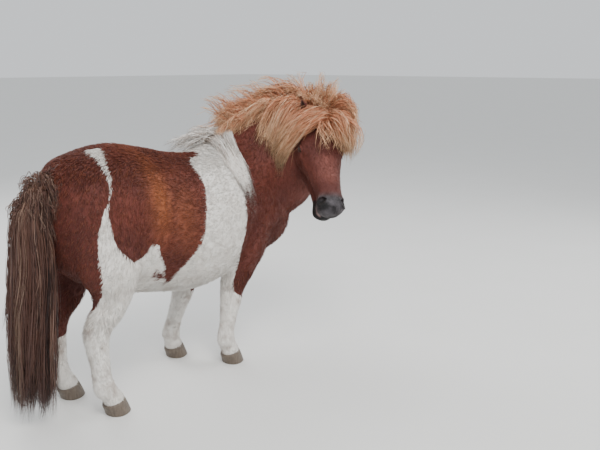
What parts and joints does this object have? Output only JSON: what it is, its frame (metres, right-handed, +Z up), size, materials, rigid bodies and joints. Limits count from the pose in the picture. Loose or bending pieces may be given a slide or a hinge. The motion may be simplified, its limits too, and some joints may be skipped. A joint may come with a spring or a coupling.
{
  "type": "shetland pony",
  "caption": "Standing skewbald Shetland pony, life size, head turned back to its right, with full mane and floor-length tail; a still model.",
  "frame": {"origin": "centre of the bounding box at floor level, under the soles", "axes": "+X towards the chest, +Y to the pony's left, +Z up"},
  "size_m": [1.3266, 0.7452, 1.158],
  "materials": {
    "chestnut_coat": "short glossy hair",
    "white_coat": "short hair",
    "ginger_mane": "long coarse hair",
    "white_mane": "long coarse hair",
    "tail_hair": "long coarse hair",
    "horn": "matt hoof horn",
    "eye": "wet and glossy"
  },
  "bodies": {
    "root": {"ear_left": "chestnut_coat", "ear_right": "chestnut_coat", "eye_left": "eye", "eye_right": "eye", "fore_hoof_left": "horn", "fore_hoof_right": "horn", "fore_leg_left_lower": "white_coat", "fore_leg_left_upper": "chestnut_coat", "fore_leg_right_lower": "white_coat", "fore_leg_right_upper": "chestnut_coat", "forelock": "ginger_mane", "head": "chestnut_coat", "hind_hoof_left": "horn", "hind_hoof_right": "horn", "hind_leg_left_lower": "white_coat", "hind_leg_left_upper": "chestnut_coat", "hind_leg_right_lower": "white_coat", "hind_leg_right_upper": "chestnut_coat", "mane_crest": "ginger_mane", "mane_withers": "white_mane", "neck": "chestnut_coat", "tail": "tail_hair", "torso": "chestnut_coat"}
  },
  "joints": []
}
